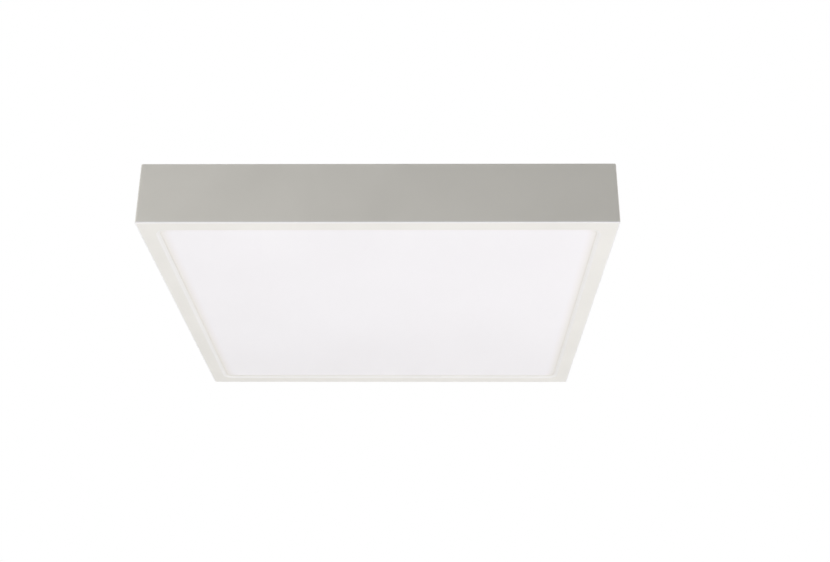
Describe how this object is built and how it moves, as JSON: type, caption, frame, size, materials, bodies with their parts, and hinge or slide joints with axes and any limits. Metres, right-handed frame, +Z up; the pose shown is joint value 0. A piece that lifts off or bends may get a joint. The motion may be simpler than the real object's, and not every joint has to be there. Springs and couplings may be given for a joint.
{
  "type": "square ceiling light",
  "caption": "Flat square surface-mounted ceiling light with an opal edge-lit panel, that snaps on to a slotted ceiling bracket.",
  "frame": {"origin": "centre of the ceiling bracket's top face, in the plane of the ceiling, midway between its two screw slots", "axes": "+Z up into the ceiling, +X along the bracket, the lit face looks along -Z"},
  "size_m": [0.3, 0.3, 0.042],
  "materials": {
    "housing": "white satin powder coat",
    "diffuser": "opal acrylic, fine satin",
    "light_guide": "clear acrylic",
    "reflector_sheet": "white polyester film",
    "foam_pad": "closed-cell foam",
    "back_plate": "galvanised sheet steel",
    "screws": "zinc plated",
    "led_board": "white solder mask on aluminium",
    "led": "phosphor",
    "thermal_tape": "thermal tape",
    "link_wire": "insulated wire",
    "driver_case": "moulded polycarbonate",
    "driver_board": "glass epoxy board",
    "ferrite": "sintered ferrite",
    "winding": "taped winding",
    "can": "sleeved aluminium can",
    "film_capacitor": "potted box",
    "choke": "shrink sleeve",
    "fuse": "ceramic tube",
    "chip": "moulded epoxy",
    "terminal": "moulded polyamide",
    "clamp": "bright",
    "button_live": "moulded",
    "button_neutral": "moulded",
    "button_earth": "moulded",
    "live_wire": "insulated wire",
    "neutral_wire": "insulated wire",
    "earth_wire": "insulated wire, green with yellow stripe",
    "positive_wire": "insulated wire",
    "negative_wire": "insulated wire",
    "lug": "tinned",
    "grommet": "moulded rubber",
    "lead_clip": "nylon",
    "bracket": "zinc plated sheet steel",
    "spring_clip": "tempered spring steel",
    "rivet": "bright"
  },
  "bodies": {
    "bracket": {"mounting_bracket": "bracket", "cable_grommet": "grommet"},
    "lamp": {"housing": "housing", "diffuser": "diffuser", "light_guide": "light_guide", "reflector_sheet": "reflector_sheet", "foam_pad": "foam_pad", "back_plate": "back_plate", "back_plate_screws": "screws", "thermal_tapes": "thermal_tape", "board_links": "link_wire", "driver_base": "driver_case", "driver_lid": "driver_case", "driver_board": "driver_board", "transformer_core": "ferrite", "transformer_winding": "winding", "input_capacitor": "can", "output_capacitor": "can", "suppression_capacitor": "film_capacitor", "line_choke": "choke", "driver_fuse": "fuse", "controller_chip": "chip", "driver_screws": "screws", "terminal_body": "terminal", "terminal_clamps": "clamp", "terminal_screws": "screws", "live_lead": "live_wire", "neutral_lead": "neutral_wire", "earth_lead": "earth_wire", "earth_lug": "lug", "earth_washer": "screws", "earth_screw": "screws", "output_lead_positive": "positive_wire", "output_lead_negative": "negative_wire", "lead_grommet": "grommet", "input_lead_clip": "lead_clip", "output_lead_clip": "lead_clip", "clip_right": "spring_clip", "clip_left": "spring_clip", "clip_rivets": "rivet", "led_board_front": "led_board", "leds_front": "led", "led_board_rear": "led_board", "leds_rear": "led", "led_board_left": "led_board", "leds_left": "led", "led_board_right": "led_board", "leds_right": "led"},
    "live_button": {"button_live": "button_live"},
    "neutral_button": {"button_neutral": "button_neutral"},
    "earth_button": {"button_earth": "button_earth"}
  },
  "joints": [
    {"name": "lamp_pull", "type": "slide", "parent": "bracket", "child": "lamp", "axis": [0, 0, -1], "range_m": [0, 0.06], "deforming": ["clip_left", "clip_right"]},
    {"name": "live_release", "type": "slide", "parent": "lamp", "child": "live_button", "axis": [0, 0, -1], "range_m": [0, 0.0015], "stiffness_N_per_m": 800, "springref_m": -0.001},
    {"name": "neutral_release", "type": "slide", "parent": "lamp", "child": "neutral_button", "axis": [0, 0, -1], "range_m": [0, 0.0015], "stiffness_N_per_m": 800, "springref_m": -0.001},
    {"name": "earth_release", "type": "slide", "parent": "lamp", "child": "earth_button", "axis": [0, 0, -1], "range_m": [0, 0.0015], "stiffness_N_per_m": 800, "springref_m": -0.001}
  ]
}
